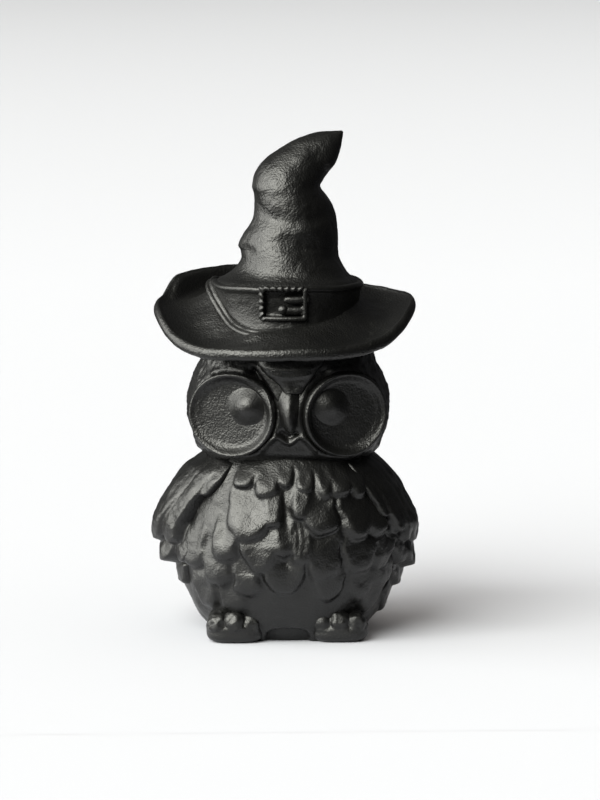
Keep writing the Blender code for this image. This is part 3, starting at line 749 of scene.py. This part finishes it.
def brim_lip(degrees):
    """Height of the turned-up lip behind, on the owl's right."""
    return LIP_HEIGHT * smooth_step(256, 240, degrees) * smooth_step(150, 195, degrees)


def brim_sag(turn, t, depth):
    """How far the brim's sides hang below a straight way from the band to the edge."""
    return depth * np.sin(math.pi * t) * np.abs(np.sin(turn)) ** 1.5


def brim_top(turn, share):
    """Height of the brim's upper face: drooping in front, swept up at the sides, and swollen in front
    of the buckle on the owl's right."""
    degrees = np.degrees(turn) % 360
    edge_z = along(BRIM_EDGE, degrees)[1] + 0.5 * BRIM_THICKNESS
    seat_z = along(BRIM_SEAT, degrees)[1]
    t = brim_share(turn, share)
    rolled = 0.3 * np.exp(-(((t - 0.95) / 0.06) ** 2))
    x, y = brim_reach(turn) * share * np.sin(turn), -brim_reach(turn) * share * np.cos(turn)
    swell = 0.9 * np.exp(-(((x + 5.4) / 3.2) ** 2) - ((y + 12.9) / 1.3) ** 2)
    height = seat_z + (edge_z - seat_z) * t**1.3 - brim_sag(turn, t, 2.3) + swell
    return height + brim_lip(degrees) * smooth_step(0.7, 0.84, t) + rolled


def brim_under(turn, share):
    """Height of the brim's lower face."""
    degrees = np.degrees(turn) % 360
    edge_z = along(BRIM_EDGE, degrees)[1] - 0.5 * BRIM_THICKNESS
    t = brim_share(turn, share)
    height = BRIM_ROOT_Z + (edge_z - BRIM_ROOT_Z) * t**1.3 - brim_sag(turn, t, 1.2)
    return height + brim_lip(degrees) * smooth_step(0.8, 0.95, t)


def make_brim():
    """Wide brim: upper face, rounded edge and lower face."""
    turn = full_turn(420)[None, :]
    top_share = np.linspace(INNER_SHARE, RIM_SHARE, 90)[:, None]
    edge = np.radians(np.linspace(80, -80, 18))[:, None]
    under_share = np.linspace(RIM_SHARE, INNER_SHARE, 60)[:, None]
    rim_top = brim_top(turn, RIM_SHARE)
    middle = 0.5 * (rim_top + brim_under(turn, RIM_SHARE))
    full = brim_reach(turn)
    rings = [
        (full * top_share, brim_top(turn, top_share)),
        (full * RIM_SHARE + RIM_ROLL * np.cos(edge), middle + (rim_top - middle) * np.sin(edge)),
        (full * under_share, brim_under(turn, under_share)),
    ]
    points = np.concatenate([
        np.stack([reach * np.sin(turn), -reach * np.cos(turn), z], -1) for reach, z in rings
    ])[::-1]
    points[..., 2] += hand_worked(points, 121, 0.14, 0.04)
    return new_piece("brim_cast", *closed_stack(points), node="hat_brim", slot_name="resin_grained")


# Folds of the hat's soft cone: path of X and Z, width, height (negative for a valley).
CROWN_FOLDS = [
    (((-5.4, 68.4), (-3.6, 67.2), (-1.9, 65.8), (0.3, 65.0), (4.2, 65.6), (8.2, 66.8)), 1.2, -0.3),
    (((0.4, 63.6), (2.4, 63.9), (5.0, 64.5), (8.4, 65.2)), 1.0, 0.12),
    (((0.4, 62.8), (2.8, 61.6), (5.6, 60.2), (8.4, 59.6)), 1.6, -0.34),
    (((-7.4, 61.2), (-6.2, 61.1), (-5.4, 60.9)), 0.7, -0.4),
]
# Swells of the cone, and the hollow under its tip: X, Z, width, height of the patch, lift.
CROWN_MOUNDS = [
    (-0.9, 69.2, 3.9, 4.2, 0.65),
    (-1.4, 60.0, 3.2, 3.6, 0.55),
    (5.9, 74.6, 2.6, 2.6, -0.4),
]


def make_crown():
    """Soft cone that swells and folds on its way up, bent over to the owl's left at the tip."""
    path = curve_through(CROWN_SECTIONS, 340)
    right, left = path[:, None, [0, 1]], path[:, None, [2, 3]]
    turn = full_turn(280)[None, :, None]
    level = 0.5 * (right + left) + 0.5 * (left - right) * np.sin(turn)
    y = path[:, None, 4:5] - path[:, None, 5:6] * np.cos(turn)
    points = np.stack([level[..., 0], y[..., 0], level[..., 1]], -1)
    middle = points.mean(axis=1, keepdims=True)
    outward = points - middle
    outward /= np.linalg.norm(outward, axis=-1)[..., None]
    size = smooth_step(0.3, 2.5, path[:, 5])[:, None]
    lift = hand_worked(points, 131, 0.14, 0.05)
    for patch in CROWN_MOUNDS:
        lift = lift + mound(points, *patch)
    for fold, width, height in CROWN_FOLDS:
        lift = lift + stroke(points, fold, width, height)
    points = points + (lift * size)[..., None] * outward
    return new_piece("crown_cast", *closed_stack(points), node="hat_crown", slot_name="resin_grained")


# Cross-section of the band: distance outside its face, height.
BAND_SECTION = [
    (-1.9, 54.9), (-1.2, 55.5), (-0.5, 55.85), (0.05, 55.8), (0.32, 55.5), (0.3, 55.1), (0.06, 54.75),
    (0.0, 54.2), (0.0, 53.2), (0.0, 52.2), (0.0, 51.2), (0.0, 50.2), (0.0, 49.4), (-0.2, 48.6),
    (-1.0, 48.4), (-1.9, 49.2), (-2.0, 51.0), (-2.0, 53.0),
]
BUCKLE_BED = 0.8  # how deep the ribbon is pressed in under the buckle


def make_band():
    """Ribbon round the crown, with a rolled upper hem and a shallow bed for the buckle."""
    turn = full_turn(420)[None, :]
    _, out, z = along([(i, *point) for i, point in enumerate(BAND_SECTION + BAND_SECTION[:1])],
                      np.linspace(0, len(BAND_SECTION), 90, endpoint=False))
    out, z = out[:, None], z[:, None]
    _, half_width, half_depth = along(BAND_STATIONS, z)
    waves = 0.14 * np.sin(3 * turn + 1) + 0.08 * np.sin(7 * turn)
    height = z + waves * smooth_step(51, 55, z)
    points = np.stack([BAND_X + (half_width + out) * np.sin(turn),
                       BAND_Y - (half_depth + out) * np.cos(turn), height], -1)
    wide = smooth_step(BUCKLE_HALF_WIDTH, BUCKLE_HALF_WIDTH - 0.5, np.abs(points[..., 0] - BUCKLE_X))
    tall = smooth_step(BUCKLE_HALF_HEIGHT, BUCKLE_HALF_HEIGHT - 0.5, np.abs(points[..., 2] - BUCKLE_Z))
    points[..., 1] += BUCKLE_BED * wide * tall * (points[..., 1] < -9.0)
    points[..., 1] += hand_worked(points, 141, 0.12, 0.05) * np.cos(turn)
    return new_piece("band_cast", *ring_loop(points[::-1]), node="hat_band", slot_name="resin_smooth")


# The ribbon's lower hem: degrees round from the front, height, distance outside the band's face.
HEM = [
    (-106, 55.2, -1.2), (-100, 55.9, -0.3), (-88, 55.3, 0.1), (-75, 53.7, 0.1), (-62, 51.6, 0.1),
    (-50, 50.0, 0.2), (-38, 49.2, 0.6), (-24, 48.7, 1.0), (-8, 48.6, 1.0), (6, 49.0, 0.6), (18, 49.5, 0.1),
]


HEM_FOLDS = [(0.0, 0.0, 0.48), (0.66, -0.4, 0.44)]  # distance further out, higher, radius


def make_ribbon_folds():
    """The ribbon's lower hem: a double fold that climbs the band's side on the owl's right."""
    shells = []
    for gap, drop, radius in HEM_FOLDS:
        route = []
        for degrees, z, out in HEM:
            turn = math.radians(degrees)
            _, half_width, half_depth = along(BAND_STATIONS, min(z, BAND_STATIONS[-1][0]))
            route.append((BAND_X + (half_width + out + gap) * math.sin(turn),
                          BAND_Y - (half_depth + out + gap) * math.cos(turn), z + drop))
        shells.append(tube(route, radius, count=160))
    points, faces, normals = fused(shells, 0.11, 2)
    points = points + hand_worked(points, 151, 0.12, 0.06)[:, None] * normals
    return new_piece("ribbon_folds", points, faces, slot_name="resin_smooth")


def band_y(x, z):
    """Y of the front of the band."""
    _, half_width, half_depth = along(BAND_STATIONS, z)
    across = np.clip((x - BAND_X) / half_width, -0.99, 0.99)
    return BAND_Y - half_depth * np.sqrt(1 - across**2)


def rounded_rectangle(half_width, half_height, radius, count):
    """Evenly spaced points round a rectangle with round corners, and the distance along it."""
    corners = []
    for start, x, z in ((0, 1, 1), (90, -1, 1), (180, -1, -1), (270, 1, -1)):
        arc = np.radians(start + np.linspace(0, 90, 12))
        corners.append(np.stack([x * (half_width - radius) + radius * np.cos(arc),
                                 z * (half_height - radius) + radius * np.sin(arc)], -1))
    line = np.concatenate([*corners, corners[0][:1]])
    run = np.concatenate([[0], np.cumsum(np.linalg.norm(np.diff(line, axis=0), axis=1))])
    place = np.linspace(0, run[-1], count, endpoint=False)
    return np.interp(place, run, line[:, 0]), np.interp(place, run, line[:, 1]), place


BEAD_PITCH = 1.0


def make_buckle():
    """Flat rectangular frame with small beads along its upper and outer edges, bent to the band."""
    across, up, place = rounded_rectangle(BUCKLE_HALF_WIDTH, BUCKLE_HALF_HEIGHT, 0.35, 420)
    across, up, place = across[:, None], up[:, None], place[:, None]
    tube_turn = full_turn(20)[None, :]
    beaded = np.clip(smooth_step(1.6, 2.2, up) + smooth_step(-2.6, -3.2, across), 0, 1)
    bead = 0.08 * beaded * np.cos(2 * math.pi * place / BEAD_PITCH)
    width = 0.4 + bead
    flat_cos = np.sign(np.cos(tube_turn)) * np.abs(np.cos(tube_turn)) ** 0.7
    x = BUCKLE_X + across * (1 + width * flat_cos / BUCKLE_HALF_WIDTH)
    z = BUCKLE_Z + up * (1 + width * flat_cos / BUCKLE_HALF_HEIGHT)
    y = band_y(x, z) - 0.25 - (0.55 + bead) * np.sin(tube_turn)
    points = np.stack([x, y, z], -1)
    return new_piece("buckle_cast", *ring_loop(points[::-1]), node="buckle_frame", slot_name="resin_smooth")


def on_band(x, z, out):
    """Point on the front of the band, a distance outside it."""
    return (x, float(band_y(x, z)) - out, z)


def make_prong():
    """Two short bars in the buckle: the prong, and under it the ribbon's end with a round knob."""
    prong_line = ((-0.6, 53.9), (0.8, 53.9), (2.0, 53.9), (3.2, 54.1))
    end_line = ((-1.2, 52.2), (0.2, 52.2), (1.6, 52.2), (3.0, 52.3))
    prong = tube([on_band(x, z, 0.0) for x, z in prong_line], 0.56)
    end = tube([on_band(x, z, -0.1) for x, z in end_line], 0.66)
    knob = round_shell(on_band(-0.7, 52.35, 0.2), (0.75, 0.6, 0.75))
    corner = round_shell(on_band(2.6, 52.2, 0.1), (0.5, 0.5, 0.85), 4.0)
    hook = round_shell(on_band(2.9, 54.1, 0.15), (0.55, 0.5, 0.7), 3.0)
    points, faces, normals = fused([prong, end, knob, corner, hook], 0.08, 3)
    points = points + hand_worked(points, 161, 0.08, 0.05)[:, None] * normals
    return new_piece("prong_cast", points, faces, node="buckle_prong", slot_name="resin_smooth")


# ---- Materials ----
RESIN_BLACK = (0.0009, 0.0009, 0.0008, 1.0)
RESIN_CLOUDED = (0.00198, 0.00198, 0.00184, 1.0)
RESIN_RUBBED = (0.0036, 0.0036, 0.00328, 1.0)
CLOUD_SCALE, CLOUD_SHARE = 160.0, 0.6  # noise scales are per metre
DULLEST, GLOSSIEST = 0.12, -0.06  # how far the roughness wanders
PORE_SCALE, PORE_DEPTH = 2600.0, 0.045
WOBBLE_SCALE, WOBBLE_REACH = 900.0, 0.6  # the grain's cells are bent this much
RUBBED_FROM, RUBBED_TO = 0.52, 0.60  # pointiness: 0.5 is flat, and above it edges stick out

# The finishes by material slot: roughness, size and depth of the grain.
FINISHES = {
    "resin_body": (0.38, 0.30, 0.04),
    "resin_grained": (0.40, 0.32, 0.065),
    "resin_smooth": (0.41, 0.30, 0.03),
}


def add_node(tree, kind, inputs=(), **settings):
    """New shader node. An input is a plain value, or the output of another node that feeds it."""
    node = tree.nodes.new(kind)
    for key, value in settings.items():
        setattr(node, key, value)
    for key, value in dict(inputs).items():
        if isinstance(value, bpy.types.NodeSocket):
            tree.links.new(value, node.inputs[key])
        else:
            node.inputs[key].default_value = value
    return node


def noise(tree, place, scale, detail=2.0, roughness=0.5):
    return add_node(tree, "ShaderNodeTexNoise",
                    {"Vector": place, "Scale": scale, "Detail": detail, "Roughness": roughness})


def mapped(tree, value, low, high, start=0.0, end=1.0, **settings):
    """Output that goes from low to high while a value goes from start to end."""
    limits = {"From Min": start, "From Max": end, "To Min": low, "To Max": high}
    return add_node(tree, "ShaderNodeMapRange", {"Value": value, **limits}, **settings).outputs["Result"]


def blended(tree, first, second, factor):
    """Output that goes from one colour to another."""
    inputs = {"A": first, "B": second, "Factor": factor}
    return add_node(tree, "ShaderNodeMix", inputs, data_type="RGBA").outputs["Result"]


def relief(tree, height, depth, **inputs):
    """Output of a normal that follows a height, a depth in millimetres."""
    inputs.update({"Strength": 1.0, "Distance": depth * MM, "Height": height})
    return add_node(tree, "ShaderNodeBump", inputs).outputs["Normal"]


def plain(name, colour, roughness):
    """New material of one colour, and its node tree and shader."""
    material = bpy.data.materials.new(name)
    material.use_nodes = True
    shader = material.node_tree.nodes["Principled BSDF"]
    shader.inputs["Base Color"].default_value = colour
    shader.inputs["Roughness"].default_value = roughness
    return material, material.node_tree, shader


def resin(name, roughness, grain_size, grain_depth):
    """Black cast resin: pebbled grain, fine pores, cloudy sheen and slightly rubbed edges."""
    material, tree, shader = plain(name, RESIN_BLACK, roughness)
    place = add_node(tree, "ShaderNodeTexCoord").outputs["Object"]
    pointed = add_node(tree, "ShaderNodeNewGeometry").outputs["Pointiness"]
    clouds = noise(tree, place, CLOUD_SCALE).outputs["Fac"]

    tone = blended(tree, RESIN_BLACK, RESIN_CLOUDED, mapped(tree, clouds, 0.0, CLOUD_SHARE))
    rubbed = mapped(tree, pointed, 0.0, 1.0, RUBBED_FROM, RUBBED_TO)
    tree.links.new(blended(tree, tone, RESIN_RUBBED, rubbed), shader.inputs["Base Color"])
    sheen = mapped(tree, clouds, roughness + GLOSSIEST, roughness + DULLEST)
    tree.links.new(sheen, shader.inputs["Roughness"])

    wobble = noise(tree, place, WOBBLE_SCALE).outputs["Color"]
    shift = add_node(tree, "ShaderNodeVectorMath", {0: wobble, "Scale": WOBBLE_REACH * MM}, operation="SCALE")
    bent = add_node(tree, "ShaderNodeVectorMath", {0: place, 1: shift.outputs["Vector"]}, operation="ADD")
    cells = add_node(tree, "ShaderNodeTexVoronoi", feature="SMOOTH_F1", inputs={
        "Vector": bent.outputs["Vector"], "Scale": 1 / (grain_size * MM), "Smoothness": 0.6})
    grain = relief(tree, cells.outputs["Distance"], grain_depth)
    pores = noise(tree, place, PORE_SCALE, 3.0, 0.6).outputs["Fac"]
    tree.links.new(relief(tree, pores, PORE_DEPTH, Normal=grain), shader.inputs["Normal"])
    return material


def dress(pieces):
    """Give each piece the finish of its slot."""
    finishes = {slot: resin(slot, *values) for slot, values in FINISHES.items()}
    for piece in pieces:
        piece.data.materials.append(finishes[piece["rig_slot"]])


# ---- Surroundings ----
# Sizes here are metres.
PAPER_COLOUR = (0.337, 0.346, 0.381)
PAPER_ROUGHNESS = 0.95
SHEET_HALF = 0.075
FLOOR_DROP = 0.00002
FLOOR_CORNERS = (-9.0, -4.0), (9.0, 14.0)
# The floor's colour is darkened far behind the owl, a painted shade for light that falls off there: from this
# distance, to this one, down to this share.
PAINTED_SHADE_START, PAINTED_SHADE_END, PAINTED_SHADE_SHARE = 0.5, 3.4, 0.6

# Suns: name, azimuth from -X towards -Y, elevation, strength, angular size (all in degrees), colour,
# and whether the gloss mirrors it: the bounced light from the pale walls is too soft to show there.
SUNS = [
    ("window", 47, 38, 8.0, 52, (1.0, 1.0, 0.92), True),
    ("side_window", 2, 17, 4.8, 60, (1.0, 1.0, 0.94), True),
    ("bounce", 0, 90, 2.5, 110, (1.0, 0.93, 0.82), False),
]
ROOM_COLOUR = (0.95, 0.96, 1.0, 1.0)
ROOM_DIM, ROOM_BACK = 0.03, 0.06  # the room's light all round, and straight behind the owl


def flat_sheet(name, low, high, height, material):
    """Level rectangle between two corners."""
    corners = [low, (high[0], low[1]), high, (low[0], high[1])]
    mesh = bpy.data.meshes.new(name)
    mesh.from_pydata([(x, y, height) for x, y in corners], [], [(0, 1, 2, 3)])
    sheet = bpy.data.objects.new(name, mesh)
    bpy.context.scene.collection.objects.link(sheet)
    mesh.materials.append(material)
    return sheet


def make_stage():
    """A sheet of pale paper under the owl on a wide pale floor, which isn't mirrored in the gloss; its colour
    has a painted shade that darkens it far behind the owl.
    """
    paper, tree, shader = plain("paper", (*PAPER_COLOUR, 1.0), PAPER_ROUGHNESS)
    place = add_node(tree, "ShaderNodeTexCoord").outputs["Object"]
    behind = add_node(tree, "ShaderNodeSeparateXYZ", {"Vector": place}).outputs["Y"]
    # painted shade: the paper's colour darkens with distance behind the owl, standing in for light that falls
    # off
    share = mapped(tree, behind, 1.0, PAINTED_SHADE_SHARE, PAINTED_SHADE_START, PAINTED_SHADE_END)
    tone = add_node(tree, "ShaderNodeVectorMath", {0: PAPER_COLOUR, "Scale": share}, operation="SCALE")
    tree.links.new(tone.outputs["Vector"], shader.inputs["Base Color"])
    flat_sheet("paper_sheet", (-SHEET_HALF, -SHEET_HALF), (SHEET_HALF, SHEET_HALF), 0.0, paper)
    flat_sheet("floor", *FLOOR_CORNERS, -FLOOR_DROP, paper).visible_glossy = False


def make_sun(name, azimuth, elevation, strength, size, colour, mirrored):
    """Sun lamp that shines on the owl from a direction."""
    data = bpy.data.lights.new(name, "SUN")
    data.energy = strength
    data.angle = math.radians(size)
    data.color = colour
    lamp = bpy.data.objects.new(name, data)
    level, turn = math.cos(math.radians(elevation)), math.radians(azimuth)
    direction = Vector((-level * math.cos(turn), -level * math.sin(turn), math.sin(math.radians(elevation))))
    lamp.rotation_euler = (-direction).to_track_quat("-Z", "Y").to_euler()
    lamp.visible_glossy = mirrored
    bpy.context.scene.collection.objects.link(lamp)


def make_room():
    """A dim room, a little brighter behind the owl."""
    world = bpy.data.worlds.new("room")
    world.use_nodes = True
    tree = world.node_tree
    background = tree.nodes["Background"]
    background.inputs["Color"].default_value = ROOM_COLOUR
    direction = add_node(tree, "ShaderNodeTexCoord").outputs["Generated"]
    behind = add_node(tree, "ShaderNodeSeparateXYZ", {"Vector": direction}).outputs["Y"]
    strength = mapped(tree, behind, ROOM_DIM, ROOM_BACK, 0.0, 0.9, interpolation_type="SMOOTHSTEP")
    tree.links.new(strength, background.inputs["Strength"])
    bpy.context.scene.world = world


def make_light():
    """Windows, bounced light and the dim room."""
    for sun in SUNS:
        make_sun(*sun)
    make_room()
    bpy.context.scene.view_settings.view_transform = "Standard"


# ---- Camera ----
CAMERA_AIM = Vector((0.0024, 0.0, 0.0367))
CAMERA_DISTANCE = 0.62
CAMERA_ELEVATION = math.radians(8)
CAMERA_AZIMUTH = math.radians(2.3)
FOCAL = 156.5
SENSOR = 24.0


def make_camera():
    """Camera a little above the owl and a little to its right."""
    data = bpy.data.cameras.new("camera")
    data.lens = FOCAL
    data.sensor_fit = "HORIZONTAL"
    data.sensor_width = SENSOR
    data.dof.use_dof = False
    camera = bpy.data.objects.new("camera", data)
    level = CAMERA_DISTANCE * math.cos(CAMERA_ELEVATION)
    camera.location = CAMERA_AIM + Vector((
        -level * math.sin(CAMERA_AZIMUTH),
        -level * math.cos(CAMERA_AZIMUTH),
        CAMERA_DISTANCE * math.sin(CAMERA_ELEVATION),
    ))
    camera.rotation_euler = (CAMERA_AIM - camera.location).to_track_quat("-Z", "Y").to_euler()
    bpy.context.scene.collection.objects.link(camera)
    bpy.context.scene.camera = camera


def build():
    """Every piece of the owl, with its finish."""
    pieces = [make_body(), make_tail(), make_head(), make_brow(), make_beak()]
    for word, side in (("right", -1), ("left", 1)):
        pieces.append(make_wing(word, side))
        pieces.append(make_foot(word, side))
        pieces.append(make_eye_dish(word, side))
        pieces.append(make_pupil(word, side))
    pieces += [make_brim(), make_crown(), make_band(), make_ribbon_folds(), make_buckle(), make_prong()]
    dress(pieces)


build()
make_stage()
make_light()
make_camera()
